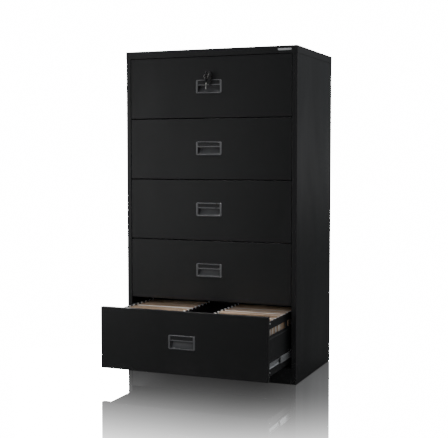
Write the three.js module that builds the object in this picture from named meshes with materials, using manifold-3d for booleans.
// Lateral filing cabinet with five drawers on telescopic slides and a gang lock.
// Millimetres, +Z up, the drawers open towards -Y. The bottom drawer stands open.
// The origin is on the floor, under the middle of everything, the open drawer included.
import * as THREE from "three";
import { mergeVertices } from "three/addons/utils/BufferGeometryUtils.js";
import Module from "manifold-3d";

const wasm = await Module();
wasm.setup();

// ---- Driving sizes -------------------------------------------------------------------------

const WIDTH = 914; // over the side panels
const DEPTH = 610; // front of the posts to the back panel's outer face
const DRAWERS = 5;
const PITCH = 304.8; // height of one drawer opening
const PLINTH = 82; // floor to the lowest opening
const CAP_SKIRT = 37; // downturned edge of the top cap
const OPEN = 335; // how far the bottom drawer is pulled out

const SHEET = 1.2; // all the folded steel sheet
const FIT = 0.3; // gap between pieces that touch
const SEAM = 3; // gap between two drawer fronts, one above the other
const SIDE_SEAM = 1.5; // gap between a drawer front and a post

const POST_FACE = 25; // the post's face beside the drawers
const POST_LIP = 60; // how far a post's inner lip runs towards the middle of the side

const HEIGHT = PLINTH + DRAWERS * PITCH + CAP_SKIRT;
const OPENING_HALF = WIDTH / 2 - POST_FACE; // half the width between the posts

// Levelling feet, and the base that they carry
const FOOT_LIFT = 2; // the sheet metal's clearance over the floor
const FOOT_R = 20;
const FOOT_STEM_R = 5;
const FOOT_NUT_R = 9;
const FOOT_INSET = 70; // from the cabinet's corner, both ways
const PAN_Z = 30; // underside of the base pan
const PLINTH_LEDGE = 30; // the plinth's turned-in top edge
const PAN_BACK_EDGE = 28; // the pan's turned-up back edge

// Drawer front: a folded pan, open at the back
const FRONT_DEPTH = 20;

// Drawer box: z is above the bottom of its opening, and y is behind the front's face
const BOX_FROM_BOTTOM = 18;
const BOX_HEADROOM = 34.8; // from the box's top edge to the next opening
const BOX_TO_BACK = 55; // from the box's length to the cabinet's depth
const SLIDE_SPACE = 13; // each side, between the post and the box
const JOG_BELOW_TOP = 80; // where the side steps in, under the windows
const JOG = 3.5;
const RIM = 9; // the side's turned-in top edge
const WINDOW_BELOW_TOP = 64; // bottom edge of the side windows, under the box's top edge
const WINDOW_H = 30.5;
const WINDOW_ENDS = [14, 23]; // from the box's front and back to its windows
const WINDOW_LENGTH = 265; // the front one; the back one fills the rest
const WINDOW_BAR = 25; // between the two windows
const RAIL_X = 80; // the two hanging rails, either side of the middle
const RAIL_H = 15;
const RAIL_T = 2;
const RAIL_DROP = 2; // below the top of the box

// Telescopic slides
const SLIDE_SHORTER = 5; // than the box
const SLIDE_Z = 69; // middle of the slide
const SLIDE_BEHIND_FRONT = 22;
const OUTER_H = 42;
const MIDDLE_H = 33;
const INNER_H = 26;
const OUTER_TO_BOX = 2.7; // from the outer member's flanges to the box
const MIDDLE_TO_BOX = 3.2;
const OUTER_TO_MIDDLE = 2.3; // between the two webs
const MIDDLE_TO_INNER = 1.7; // from the middle member's web to the inner one's flanges

// Recessed pull: a bezel with a label slot above and a finger pocket below
const PULL_W = 138;
const PULL_H = 68;
const PULL_CORNER = 8;
const PULL_RAISE = 3.6; // its middle, above the middle of the opening
const BEZEL = 3; // thickness in front of the drawer
const BEZEL_SIDE = 10;
const BEZEL_TOP = 5;
const LABEL_H = 18;
const PULL_BAR = 5; // between the label and the pocket
const POCKET_H = 34;
const POCKET_DEPTH = 15.3; // behind the drawer's face
const CUP_WALL = 2;
const CUP_LAP = 6; // how far the bezel laps over the drawer's cut-out
const LABEL_DEPTH = 2.5;
const POCKET_BEHIND = 12; // how far the pocket goes up behind the bar

// Lock, above the top drawer's pull. Its sizes are from the lock's axis
const LOCK_ABOVE_PULL = 24;
const HOUSING_R = 14.5;
const NECK_W = 24;
const NECK_DROP = 27; // how far the neck comes down over the bezel
const HOUSING_PROUD = 12;
const BARREL_R = 9.5;
const BARREL_BACK = 9;
const PLUG_R = 6.7;
const PLUG_PROUD = 13;
const CAM_W = 12;
const CAM_T = 2;
const CRANK = 10; // the drive pin's distance from the axis
const PIN_R = 2;
const THROW = 10; // how far a quarter turn moves the rod and the bar

// Keys
const KEY_T = 2;
const KEY_BLADE_H = 7.4;
const KEY_BLADE_IN = 16; // length of blade inside the plug
const KEY_SHANK = 2; // bare blade between the plug and the head
const HEAD_W = 24;
const HEAD_L = 28;
const HEAD_T = 7;
const HEAD_HOLE_R = 3.5;
const HOLE_FROM_END = 7;
const SPARE_BLADE = 29;
const RING_DROP = 22; // from one key's hole to the other's

// Lock rod inside the top drawer's front, and gang lock bar inside the right post
const ROD_Y = 12; // behind the drawer's face
const ROD_T = 3;
const ROD_H = 8;
const ROD_BELOW = 6; // the rod's lower edge, under the lock's axis
const YOKE_HALF = 10;
const YOKE_LOW = 16; // the yoke plate's lower edge, under the lock's axis
const YOKE_HIGH = 7;
const BAR_FROM_SIDE = 8; // the bar's outer face, from the cabinet's side
const BAR_T = 3;
const BAR_Y = 8;
const BAR_W = 22;
const LUG_Z = 120; // the strikers' lower edge, above the bottom of each opening
const LUG_H = 5;
const LUG_UNDER = 3; // rest gap between a lug and its striker
const LUG_Y = 22;
const LUG_T = 5;
const LUG_REACH = 8; // past the post's lip, towards the drawer
const STRIKER_GAP = 2;
const STRIKER_T = 4;
const STRIKER_H = 8;
const STRIKER_TO_POST = 4;
const WEDGE_H = 12;

// ---- Frame ---------------------------------------------------------------------------------

const PROUD = BEZEL + FIT; // how far the pull stands out of a drawer
const FRONT = (OPEN + PROUD - DEPTH) / 2; // the cabinet's front plane
const BACK = FRONT + DEPTH;
const FLANGE_BACK = BACK - SHEET - FIT; // outer face of the side panels' back flange

// ---- Finishes ------------------------------------------------------------------------------

const finish = (color, roughness, metalness) =>
  new THREE.MeshStandardMaterial({ color, roughness, metalness });
const BLACK_COAT = finish(0x1c1c1d, 0.45, 0.1);
const ZINC = finish(0xa9adb0, 0.35, 0.9);
const BLACK_PLASTIC = finish(0x2c2d2f, 0.4, 0);
const NICKEL = finish(0xc9c9c6, 0.25, 1);
const RUBBER = finish(0x161616, 0.8, 0);

// ---- Solids --------------------------------------------------------------------------------

// A three.js geometry as a manifold solid, with its shared vertices merged.
function solid(geometry) {
  const bare = new THREE.BufferGeometry();
  const loose = geometry.index ? geometry.toNonIndexed() : geometry;
  bare.setAttribute("position", loose.getAttribute("position"));
  const merged = mergeVertices(bare, 1e-4);
  return new wasm.Manifold(
    new wasm.Mesh({
      numProp: 3,
      vertProperties: new Float32Array(merged.attributes.position.array),
      triVerts: new Uint32Array(merged.index.array),
    }),
  );
}

// A manifold solid as a three.js geometry.
function geometryOf(made) {
  const mesh = made.getMesh();
  const geometry = new THREE.BufferGeometry();
  geometry.setAttribute("position", new THREE.BufferAttribute(mesh.vertProperties, 3));
  geometry.setIndex(new THREE.BufferAttribute(mesh.triVerts, 1));
  geometry.computeVertexNormals();
  return geometry;
}

const join = (first, ...rest) => rest.reduce((a, b) => a.add(b), first);
const cut = (first, ...rest) => rest.reduce((a, b) => a.subtract(b), first);

// A block between two limits on each axis.
function block([x0, x1], [y0, y1], [z0, z1]) {
  const geometry = new THREE.BoxGeometry(Math.abs(x1 - x0), y1 - y0, z1 - z0);
  geometry.translate((x0 + x1) / 2, (y0 + y1) / 2, (z0 + z1) / 2);
  return solid(geometry);
}

// Where each extrusion axis puts a shape's own two axes and its depth.
const BASES = {
  x: [[0, 1, 0], [0, 0, 1], [1, 0, 0]],
  y: [[1, 0, 0], [0, 0, 1], [0, -1, 0]],
  z: [[1, 0, 0], [0, 1, 0], [0, 0, 1]],
};

// A shape extruded along an axis from one place to another. Its points are the other two
// axes, in X, Y, Z order.
function extrude(shape, axis, from, to, curveSegments = 4) {
  const geometry = new THREE.ExtrudeGeometry(shape, {
    depth: to - from,
    bevelEnabled: false,
    curveSegments,
  });
  const [u, v, w] = BASES[axis].map((b) => new THREE.Vector3(...b));
  geometry.applyMatrix4(new THREE.Matrix4().makeBasis(u, v, w));
  const shift = new THREE.Vector3(...BASES[axis][2]).multiplyScalar(axis === "y" ? -to : from);
  geometry.translate(shift.x, shift.y, shift.z);
  return solid(geometry);
}

const outline = (points) => new THREE.Shape(points.map(([u, v]) => new THREE.Vector2(u, v)));
const mirrored = (points) => points.map(([u, v]) => [-u, v]).reverse();

// A cylinder along Y, as a lock barrel or a pin lies.
function rodY(radius, y0, y1, sides = 24, x = 0, z = 0) {
  const geometry = new THREE.CylinderGeometry(radius, radius, y1 - y0, sides);
  geometry.translate(x, (y0 + y1) / 2, z);
  return solid(geometry);
}

function roundedRect(width, height, radius) {
  const [w, h] = [width / 2, height / 2];
  const shape = new THREE.Shape();
  shape.moveTo(-w + radius, -h);
  shape.lineTo(w - radius, -h);
  shape.absarc(w - radius, -h + radius, radius, -Math.PI / 2, 0);
  shape.lineTo(w, h - radius);
  shape.absarc(w - radius, h - radius, radius, 0, Math.PI / 2);
  shape.lineTo(-w + radius, h);
  shape.absarc(-w + radius, h - radius, radius, Math.PI / 2, Math.PI);
  shape.lineTo(-w, -h + radius);
  shape.absarc(-w + radius, -h + radius, radius, Math.PI, 1.5 * Math.PI);
  return shape;
}

// A named mesh in a group.
function add(group, name, made, material) {
  const mesh = new THREE.Mesh(geometryOf(made), material);
  mesh.name = name;
  group.add(mesh);
  return mesh;
}

// ---- Cabinet shell -------------------------------------------------------------------------

// One side with its front and back posts, folded from a single sheet and open inwards.
function sidePanel(side) {
  const out = WIDTH / 2;
  const inner = OPENING_HALF;
  const points = [
    [out, FRONT],
    [out, FLANGE_BACK],
    [inner, FLANGE_BACK],
    [inner, FLANGE_BACK - POST_LIP],
    [inner + SHEET, FLANGE_BACK - POST_LIP],
    [inner + SHEET, FLANGE_BACK - SHEET],
    [out - SHEET, FLANGE_BACK - SHEET],
    [out - SHEET, FRONT + SHEET],
    [inner + SHEET, FRONT + SHEET],
    [inner + SHEET, FRONT + POST_LIP],
    [inner, FRONT + POST_LIP],
    [inner, FRONT],
  ];
  const sided = side > 0 ? points : mirrored(points);
  return extrude(outline(sided), "z", FOOT_LIFT, HEIGHT - SHEET - FIT);
}

// Openings in the right post's lip, for the gang bar's lugs and for the lock rod's tip.
function lipSlots() {
  const x = [OPENING_HALF - 1, OPENING_HALF + SHEET + 1];
  const slots = [];
  for (let n = 0; n < DRAWERS; n++) {
    const z = PLINTH + n * PITCH + LUG_Z;
    const y = FRONT + LUG_Y;
    const low = z - LUG_UNDER - LUG_H - 2;
    slots.push(block(x, [y - 1.5, y + LUG_T + 1.5], [low, low + LUG_H + THROW + 4]));
  }
  const z = TOP_BASE + LOCK_Z;
  const y = FRONT + ROD_Y;
  slots.push(block(x, [y - 2, y + ROD_T + 2], [z - ROD_BELOW - 2, z - ROD_BELOW + ROD_H + 2]));
  return slots;
}

// The top: a flat sheet with its edges turned down over the side panels and posts.
function topCap() {
  const reach = FIT + SHEET;
  const outer = block(
    [-WIDTH / 2 - reach, WIDTH / 2 + reach],
    [FRONT - reach, BACK],
    [HEIGHT - CAP_SKIRT, HEIGHT],
  );
  const inner = block(
    [-WIDTH / 2 - FIT, WIDTH / 2 + FIT],
    [FRONT - FIT, BACK - SHEET],
    [HEIGHT - CAP_SKIRT - 1, HEIGHT - SHEET],
  );
  return cut(outer, inner);
}

function backPanel() {
  return block(
    [-WIDTH / 2, WIDTH / 2],
    [BACK - SHEET, BACK],
    [FOOT_LIFT, HEIGHT - CAP_SKIRT - FIT],
  );
}

// The plinth's front with a turned-in top, and the base pan behind it, in one folded piece.
function basePlinth() {
  const top = PLINTH - SEAM / 2;
  const back = BACK - SHEET - FIT;
  const profile = outline([
    [FRONT, FOOT_LIFT],
    [FRONT + SHEET, FOOT_LIFT],
    [FRONT + SHEET, PAN_Z],
    [back, PAN_Z],
    [back, PAN_Z + PAN_BACK_EDGE],
    [back - SHEET, PAN_Z + PAN_BACK_EDGE],
    [back - SHEET, PAN_Z + SHEET],
    [FRONT + SHEET, PAN_Z + SHEET],
    [FRONT + SHEET, top - SHEET],
    [FRONT + PLINTH_LEDGE, top - SHEET],
    [FRONT + PLINTH_LEDGE, top],
    [FRONT, top],
  ]);
  const half = OPENING_HALF - FIT;
  const holes = footPlaces().map(({ x, y }) => {
    const hole = new THREE.CylinderGeometry(FOOT_STEM_R + FIT, FOOT_STEM_R + FIT, 20, 16);
    hole.rotateX(Math.PI / 2);
    hole.translate(x, y, PAN_Z);
    return solid(hole);
  });
  return cut(extrude(profile, "x", -half, half), ...holes);
}

function footPlaces() {
  const x = WIDTH / 2 - FOOT_INSET;
  const y = { front: FRONT + FOOT_INSET, back: BACK - FOOT_INSET };
  return ["front", "back"].flatMap((end) => [
    { name: `foot_${end}_left`, x: -x, y: y[end] },
    { name: `foot_${end}_right`, x, y: y[end] },
  ]);
}

// Foot pad, stem through the pan and jam nut under it, turned in one piece.
function foot() {
  const nutTop = PAN_Z - FIT;
  const profile = [
    [0, 0],
    [FOOT_R, 0],
    [FOOT_R, 6],
    [FOOT_R - 6, 10],
    [FOOT_STEM_R, 10],
    [FOOT_STEM_R, nutTop - 6],
    [FOOT_NUT_R, nutTop - 6],
    [FOOT_NUT_R, nutTop],
    [FOOT_STEM_R, nutTop],
    [FOOT_STEM_R, PAN_Z + SHEET + 12],
    [0, PAN_Z + SHEET + 12],
  ].map(([r, z]) => new THREE.Vector2(r, z));
  const geometry = new THREE.LatheGeometry(profile, 18);
  geometry.rotateX(Math.PI / 2);
  return solid(geometry);
}

// ---- Drawers. In a drawer's group y is behind the front's face, and z above its opening ------

const FRONT_HALF = OPENING_HALF - SIDE_SEAM;
const BOX_HALF = OPENING_HALF - SLIDE_SPACE;
const BOX_FRONT = FRONT_DEPTH + FIT;
const BOX_LENGTH = DEPTH - BOX_TO_BACK;
const BOX_TOP = PITCH - BOX_HEADROOM;
const JOG_Z = BOX_TOP - JOG_BELOW_TOP;
const PULL_Z = PITCH / 2 + PULL_RAISE;
const LOCK_Z = PULL_Z + PULL_H / 2 + LOCK_ABOVE_PULL;
const TOP_BASE = PLINTH + (DRAWERS - 1) * PITCH;

function drawerFront(locked) {
  const [low, high] = [SEAM / 2, PITCH - SEAM / 2];
  const shell = block([-FRONT_HALF, FRONT_HALF], [0, FRONT_DEPTH], [low, high]);
  const hollow = block(
    [-FRONT_HALF + SHEET, FRONT_HALF - SHEET],
    [SHEET, FRONT_DEPTH + 1],
    [low + SHEET, high - SHEET],
  );
  const half = [PULL_W / 2 - CUP_LAP + FIT, PULL_H / 2 - CUP_LAP + FIT];
  const pullHole = block(
    [-half[0], half[0]],
    [-1, SHEET + 1],
    [PULL_Z - half[1], PULL_Z + half[1]],
  );
  if (!locked) return cut(shell, hollow, pullHole);
  const barrelHole = rodY(BARREL_R + FIT, -1, SHEET + 1, 24, 0, LOCK_Z);
  const low0 = LOCK_Z - ROD_BELOW;
  const rodHole = block(
    [FRONT_HALF - SHEET - 1, FRONT_HALF + 1],
    [ROD_Y - 1, ROD_Y + ROD_T + 1],
    [low0 - 1, low0 + ROD_H + 1],
  );
  return cut(shell, hollow, pullHole, barrelHole, rodHole);
}

// The box's section: outer points of the right half, bottom to top.
const BOX_SIDE = [
  [BOX_HALF, BOX_FROM_BOTTOM],
  [BOX_HALF, JOG_Z],
  [BOX_HALF - JOG, JOG_Z + JOG],
  [BOX_HALF - JOG, BOX_TOP],
];

// Bottom and sides folded from one sheet, closed by a front and a back wall, with windows in
// the sides, hanging rails across the top and a striker for the gang lock on the right.
function drawerBox() {
  const end = BOX_FRONT + BOX_LENGTH;
  const inside = [
    [BOX_HALF - JOG - RIM, BOX_TOP],
    [BOX_HALF - JOG - RIM, BOX_TOP - SHEET],
    [BOX_HALF - JOG - SHEET, BOX_TOP - SHEET],
    [BOX_HALF - JOG - SHEET, JOG_Z + JOG + SHEET / 2],
    [BOX_HALF - SHEET, JOG_Z + SHEET / 2],
    [BOX_HALF - SHEET, BOX_FROM_BOTTOM + SHEET],
  ];
  const right = [...BOX_SIDE, ...inside];
  const tray = extrude(outline([...right, ...mirrored(right)]), "y", BOX_FRONT, end);
  const wall = outline([...BOX_SIDE, ...mirrored(BOX_SIDE)]);
  const front = extrude(wall, "y", BOX_FRONT, BOX_FRONT + SHEET);
  const back = extrude(wall, "y", end - SHEET, end);
  const rails = [-RAIL_X, RAIL_X].map((x) =>
    block(
      [x - RAIL_T / 2, x + RAIL_T / 2],
      [BOX_FRONT, end],
      [BOX_TOP - RAIL_DROP - RAIL_H, BOX_TOP - RAIL_DROP],
    ),
  );
  const strikerY = LUG_Y + LUG_T + STRIKER_GAP;
  const striker = block(
    [BOX_HALF - SHEET / 2, OPENING_HALF - STRIKER_TO_POST],
    [strikerY, strikerY + STRIKER_T],
    [LUG_Z, LUG_Z + STRIKER_H],
  );
  const windowLow = BOX_TOP - WINDOW_BELOW_TOP;
  const first = BOX_FRONT + WINDOW_ENDS[0];
  const second = first + WINDOW_LENGTH + WINDOW_BAR;
  const spans = [[first, first + WINDOW_LENGTH], [second, end - WINDOW_ENDS[1]]];
  const windows = spans.flatMap((span) =>
    [-1, 1].map((side) => {
      const x = [BOX_HALF - JOG - SHEET - 2, BOX_HALF + 2].map((v) => v * side);
      return block(x.sort((a, b) => a - b), span, [windowLow, windowLow + WINDOW_H]);
    }),
  );
  return join(cut(tray, ...windows), front, back, ...rails, striker);
}

// The pull: a moulded cup behind a bezel, with a label slot over a finger pocket. The pocket
// is scooped at the bottom and goes up behind the bar.
function pull() {
  const bezel = extrude(roundedRect(PULL_W, PULL_H, PULL_CORNER), "y", -PROUD, -FIT);
  const [cupW, cupH] = [PULL_W / 2 - CUP_LAP, PULL_H / 2 - CUP_LAP];
  const cup = block([-cupW, cupW], [-FIT, POCKET_DEPTH + CUP_WALL], [-cupH, cupH]);
  const half = PULL_W / 2 - BEZEL_SIDE;
  const labelTop = PULL_H / 2 - BEZEL_TOP;
  const barTop = labelTop - LABEL_H;
  const barLow = barTop - PULL_BAR;
  const low = barLow - POCKET_H;
  const label = block([-half, half], [-PROUD - 1, -PROUD + LABEL_DEPTH], [barTop, labelTop]);
  const scoop = new THREE.Shape();
  scoop.moveTo(-PROUD - 1, low);
  scoop.lineTo(-PROUD, low);
  scoop.quadraticCurveTo(POCKET_DEPTH - 2, low, POCKET_DEPTH, low + POCKET_H / 2);
  scoop.lineTo(POCKET_DEPTH, barLow + POCKET_BEHIND);
  scoop.lineTo(-PROUD + LABEL_DEPTH + CUP_WALL, barLow + POCKET_BEHIND);
  scoop.lineTo(-PROUD + LABEL_DEPTH + CUP_WALL, barLow);
  scoop.lineTo(-PROUD - 1, barLow);
  return cut(join(bezel, cup), label, extrude(scoop, "x", -half, half, 8));
}

// ---- Slides --------------------------------------------------------------------------------

// A channel along Y. Its web's outer face is at x, and its flanges reach to x + flange.
function channel(x, flange, height) {
  const [h, turn] = [height / 2, Math.sign(flange) * SHEET];
  const points = [
    [x, -h],
    [x + flange, -h],
    [x + flange, -h + SHEET],
    [x + turn, -h + SHEET],
    [x + turn, h - SHEET],
    [x + flange, h - SHEET],
    [x + flange, h],
    [x, h],
  ];
  return extrude(outline(points), "y", 0, BOX_LENGTH - SLIDE_SHORTER);
}

const outerX = OPENING_HALF - FIT;
const middleX = outerX - SHEET - OUTER_TO_MIDDLE;
const innerX = BOX_HALF + FIT;
const outerFlange = outerX - BOX_HALF - OUTER_TO_BOX;
const middleFlange = middleX - BOX_HALF - MIDDLE_TO_BOX;
const innerFlange = middleX - SHEET - MIDDLE_TO_INNER - innerX;
const SLIDE_MEMBERS = {
  outer: (side) => channel(side * outerX, -side * outerFlange, OUTER_H),
  middle: (side) => channel(side * middleX, -side * middleFlange, MIDDLE_H),
  inner: (side) => channel(side * innerX, side * innerFlange, INNER_H),
};

// ---- Lock, keys and locking bars -----------------------------------------------------------

// A round housing over a neck that comes down across the bezel, with the barrel behind it.
function lockHousing() {
  const bezelTop = -LOCK_ABOVE_PULL;
  const y = [-HOUSING_PROUD, -PROUD - FIT];
  const neck = block([-NECK_W / 2, NECK_W / 2], y, [bezelTop - NECK_DROP, 0]);
  const head = rodY(HOUSING_R, -HOUSING_PROUD, -FIT, 32);
  const foot = block([-NECK_W / 2, NECK_W / 2], [-PROUD - 1, -FIT], [bezelTop + FIT, 0]);
  const barrel = rodY(BARREL_R, -1, BARREL_BACK);
  const bore = rodY(PLUG_R + FIT, -HOUSING_PROUD - 1, BARREL_BACK + 1);
  return cut(join(neck, head, foot, barrel), bore);
}

// The turning plug, with its keyway in front and its cam and drive pin behind.
function lockPlug() {
  const back = BARREL_BACK + FIT;
  const plug = rodY(PLUG_R, -PLUG_PROUD, back + CAM_T / 2);
  const cam = block([-CAM_W / 2, CAM_W / 2], [back, back + CAM_T], [-CRANK - 4, PLUG_R]);
  const pin = rodY(PIN_R, back + CAM_T / 2, ROD_Y + ROD_T, 16, 0, -CRANK);
  const half = [KEY_T / 2 + FIT, KEY_BLADE_H / 2 + FIT];
  const keyway = block(
    [-half[0], half[0]],
    [-PLUG_PROUD - 1, -PLUG_PROUD + KEY_BLADE_IN + FIT],
    [-half[1], half[1]],
  );
  return cut(join(plug, cam, pin), keyway);
}

// A key lying along +Y: blade, shank and a plastic head with a hole near its end.
function keyAlongY(blade) {
  const headEnd = -KEY_SHANK - HEAD_L;
  const steel = block(
    [-KEY_T / 2, KEY_T / 2],
    [-KEY_SHANK - 2, blade],
    [-KEY_BLADE_H / 2, KEY_BLADE_H / 2],
  );
  const head = extrude(roundedRect(HEAD_L, HEAD_W, 8), "x", -HEAD_T / 2, HEAD_T / 2, 5);
  const hole = new THREE.CylinderGeometry(HEAD_HOLE_R, HEAD_HOLE_R, HEAD_T + 2, 16);
  hole.rotateZ(Math.PI / 2);
  hole.translate(0, headEnd + HOLE_FROM_END, 0);
  return cut(join(steel, head.translate([0, -KEY_SHANK - HEAD_L / 2, 0])), solid(hole));
}

const KEY_HOLE_Y = -PLUG_PROUD - KEY_SHANK - HEAD_L + HOLE_FROM_END;

// The rod from the lock's drive pin to the right end of the drawer's front. Its yoke has a
// slot wide enough for the pin's arc.
function lockRod() {
  const y = [ROD_Y, ROD_Y + ROD_T];
  const plate = block([-YOKE_HALF, YOKE_HALF], y, [-YOKE_LOW, YOKE_HIGH]);
  const bar = block([YOKE_HALF - 1, FRONT_HALF - FIT], y, [-ROD_BELOW, ROD_H - ROD_BELOW]);
  const slotHalf = PIN_R + 2.6;
  const slot = block([-slotHalf, slotHalf], [ROD_Y - 1, ROD_Y + ROD_T + 1], [-YOKE_LOW + 3, 3.5]);
  return cut(join(plate, bar), slot);
}

// The vertical bar in the right post: a lug for each drawer, and a wedge that the rod's tip
// lifts as it comes out of the top drawer's front.
function gangLockBar() {
  const out = WIDTH / 2 - BAR_FROM_SIDE;
  const face = out - BAR_T;
  const strip = block([face, out], [BAR_Y, BAR_Y + BAR_W], [LUG_Z - 30, TOP_BASE - PLINTH + LOCK_Z + 25]);
  const lugs = [];
  for (let n = 0; n < DRAWERS; n++) {
    const top = n * PITCH + LUG_Z - LUG_UNDER;
    lugs.push(block([OPENING_HALF - LUG_REACH, face + 1], [LUG_Y, LUG_Y + LUG_T], [top - LUG_H, top]));
  }
  const tipTop = TOP_BASE - PLINTH + LOCK_Z - ROD_BELOW + ROD_H;
  const rampAt = (x) => FRONT_HALF + tipTop + 0.5 - x;
  const near = OPENING_HALF + SHEET + 0.8;
  const wedge = outline([
    [near, rampAt(near)],
    [face + 1, rampAt(face + 1)],
    [face + 1, tipTop + WEDGE_H],
    [near, tipTop + WEDGE_H],
  ]);
  return join(strip, ...lugs, extrude(wedge, "y", ROD_Y - 1, ROD_Y + ROD_T + 1));
}

// ---- Assembly ------------------------------------------------------------------------------

const cabinet = new THREE.Group();
add(cabinet, "side_panel_left", sidePanel(-1), BLACK_COAT);
add(cabinet, "side_panel_right", cut(sidePanel(1), ...lipSlots()), BLACK_COAT);
add(cabinet, "top_cap", topCap(), BLACK_COAT);
add(cabinet, "back_panel", backPanel(), BLACK_COAT);
add(cabinet, "base_plinth", basePlinth(), BLACK_COAT);
for (const { name, x, y } of footPlaces()) {
  add(cabinet, name, foot(), RUBBER).position.set(x, y, 0);
}

for (let n = 1; n <= DRAWERS; n++) {
  const base = PLINTH + (DRAWERS - n) * PITCH;
  const out = n === DRAWERS ? OPEN : 0;
  const drawer = new THREE.Group();
  drawer.position.set(0, FRONT - out, base);
  cabinet.add(drawer);
  add(drawer, `drawer_${n}_front`, drawerFront(n === 1), BLACK_COAT);
  add(drawer, `drawer_${n}_box`, drawerBox(), BLACK_COAT);
  add(drawer, `drawer_${n}_pull`, pull(), BLACK_PLASTIC).position.z = PULL_Z;
  // The middle members follow the drawer at half its travel.
  const places = { outer: 0, middle: out / 2, inner: out };
  for (const [member, make] of Object.entries(SLIDE_MEMBERS)) {
    for (const [hand, side] of [["left", -1], ["right", 1]]) {
      const made = add(cabinet, `slide_${n}_${hand}_${member}`, make(side), ZINC);
      made.position.set(0, FRONT + SLIDE_BEHIND_FRONT - places[member], base + SLIDE_Z);
    }
  }
}

const lock = new THREE.Group();
lock.position.set(0, FRONT, TOP_BASE + LOCK_Z);
cabinet.add(lock);
add(lock, "lock_housing", lockHousing(), NICKEL);
add(lock, "lock_plug", lockPlug(), NICKEL);
add(lock, "lock_rod", lockRod(), ZINC);
add(lock, "key", keyAlongY(KEY_BLADE_IN), NICKEL).position.y = -PLUG_PROUD;

// The spare key hangs from the first one's hole, blade down.
const spare = add(lock, "spare_key", keyAlongY(SPARE_BLADE), NICKEL);
spare.rotation.x = -Math.PI / 2;
spare.position.set(0, KEY_HOLE_Y, -RING_DROP + HOLE_FROM_END - HEAD_L - KEY_SHANK);

add(cabinet, "gang_lock_bar", gangLockBar(), ZINC).position.set(0, FRONT, PLINTH);

export default cabinet;
